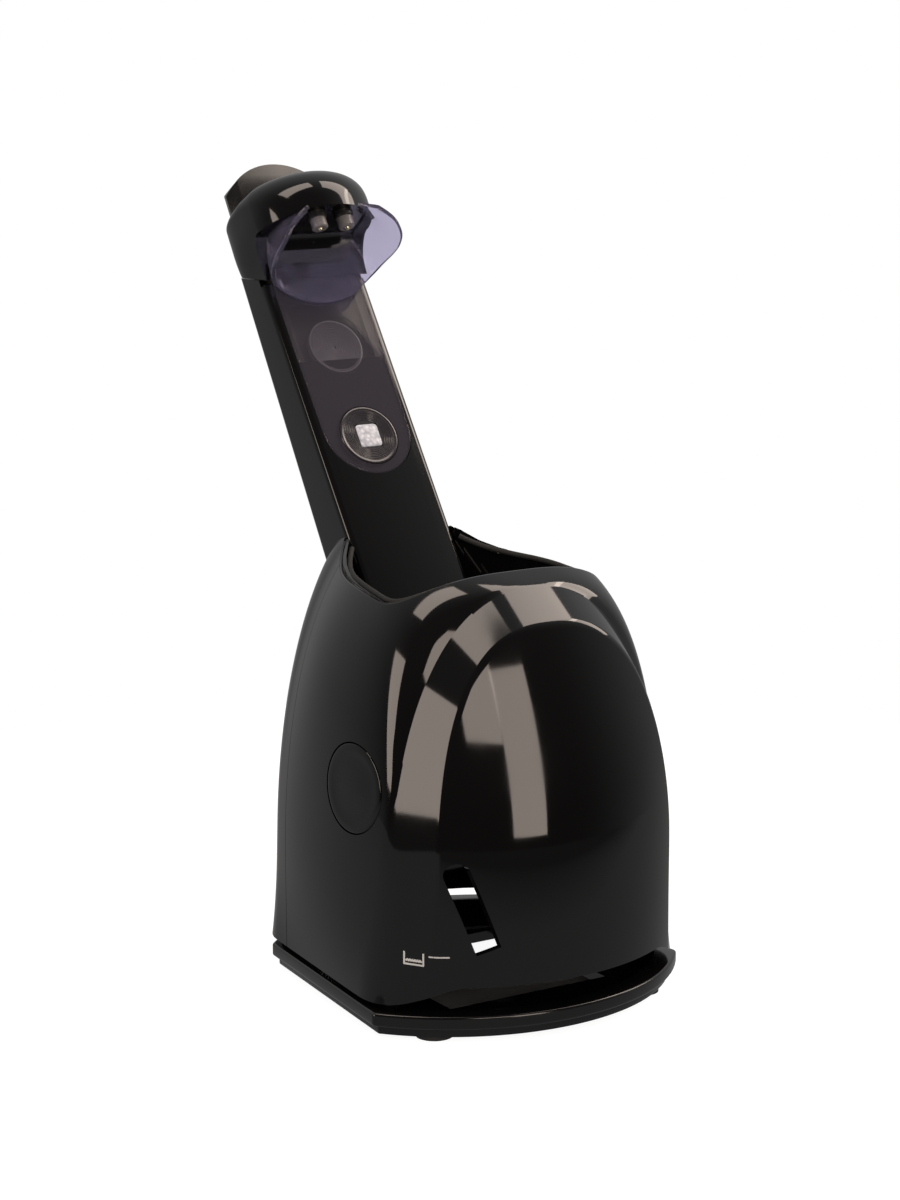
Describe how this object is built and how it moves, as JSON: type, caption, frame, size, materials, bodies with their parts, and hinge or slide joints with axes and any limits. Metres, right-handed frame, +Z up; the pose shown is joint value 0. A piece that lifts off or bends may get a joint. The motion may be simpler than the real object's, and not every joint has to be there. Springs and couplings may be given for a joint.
{
  "type": "shaver cleaning station",
  "caption": "Table-top cleaning station for an electric shaver: lifting domed housing with wash bowl, leaning arm with hood, clear visor, round start button and contacts, on a base plate.",
  "frame": {"origin": "on the table plane under the middle of the base plate", "axes": "+Z up, front towards -Y, round lift button on the -X side"},
  "size_m": [0.118, 0.2001, 0.2613],
  "materials": {
    "gloss_black": "gloss",
    "dark_plastic": "satin",
    "rubber": "matte",
    "steel": "satin",
    "pale_plastic": "satin",
    "circuit_board": "satin",
    "contact_metal": "polished",
    "smoked_clear": "gloss",
    "violet_clear": "gloss",
    "turned_grey": "fine turned rings"
  },
  "bodies": {
    "base": {"base_plate": "gloss_black", "rubber_feet": "rubber", "guide_posts": "steel", "lift_springs": "steel", "catch_post": "gloss_black", "base_screws": "steel"},
    "lift_button": {"lift_button": "gloss_black"},
    "latch": {"latch_bar": "steel"},
    "impeller": {"pump_impeller": "pale_plastic"},
    "start_button": {"start_button": "gloss_black", "light_window": "pale_plastic"},
    "release_button": {"release_button": "gloss_black"},
    "left_contact": {"left_contact_pin": "contact_metal"},
    "right_contact": {"right_contact_pin": "contact_metal"},
    "station": {"front_housing": "gloss_black", "rear_housing": "gloss_black", "deck": "dark_plastic", "deck_screws": "steel", "wash_bowl": "dark_plastic", "bowl_seal": "rubber", "drain_spout": "dark_plastic", "lift_button_guide": "dark_plastic", "lift_button_spring": "steel", "latch_spring": "steel", "latch_cover": "dark_plastic", "pump_motor": "steel", "pump_housing": "dark_plastic", "suction_tube": "pale_plastic", "supply_tube": "pale_plastic", "transformer": "steel", "main_board": "circuit_board", "board_screws": "steel", "power_socket": "gloss_black", "socket_pins": "contact_metal", "arm_rear_cover": "gloss_black", "arm_front_cover": "gloss_black", "arm_screws": "steel", "smoked_cover": "smoked_clear", "indicator_disc": "turned_grey", "display_board": "circuit_board", "start_switch": "steel", "arm_cable": "pale_plastic", "hood": "gloss_black", "visor": "violet_clear", "release_spring": "steel", "contact_block": "dark_plastic", "contact_springs": "steel"}
  },
  "joints": [
    {"name": "housing_lift", "type": "slide", "parent": "base", "child": "station", "axis": [0, 0, 1], "range_m": [0, 0.03], "deforming": ["lift_springs"]},
    {"name": "lift_button_press", "type": "slide", "parent": "station", "child": "lift_button", "axis": [0.9728, 0.1022, -0.2079], "range_m": [0, 0.003], "stiffness_N_per_m": 500, "springref_m": -0.001, "deforming": ["lift_button_spring"]},
    {"name": "latch_slide", "type": "slide", "parent": "station", "child": "latch", "axis": [1, 0, 0], "range_m": [0, 0.003], "deforming": ["latch_spring"]},
    {"name": "impeller_spin", "type": "hinge", "parent": "station", "child": "impeller", "pos_m": [-0.028, 0.018, 0.055], "axis": [0, 0, 1], "continuous": true},
    {"name": "start_button_press", "type": "slide", "parent": "station", "child": "start_button", "axis": [0, 0.8205, -0.5716], "range_m": [0, 0.001], "stiffness_N_per_m": 900, "springref_m": -0.0005},
    {"name": "release_button_press", "type": "slide", "parent": "station", "child": "release_button", "axis": [0, -0.5299, -0.848], "range_m": [0, 0.003], "stiffness_N_per_m": 600, "springref_m": -0.002, "deforming": ["release_spring"]},
    {"name": "left_contact_press", "type": "slide", "parent": "station", "child": "left_contact", "axis": [0, 0.5299, 0.848], "range_m": [0, 0.0012], "stiffness_N_per_m": 200, "springref_m": -0.0006, "deforming": ["contact_springs"]},
    {"name": "right_contact_press", "type": "slide", "parent": "station", "child": "right_contact", "axis": [0, 0.5299, 0.848], "range_m": [0, 0.0012], "stiffness_N_per_m": 200, "springref_m": -0.0006, "deforming": ["contact_springs"]}
  ],
  "couplings": [
    {"joint": "latch_slide", "follows": "lift_button_press", "ratio": 0.96}
  ]
}
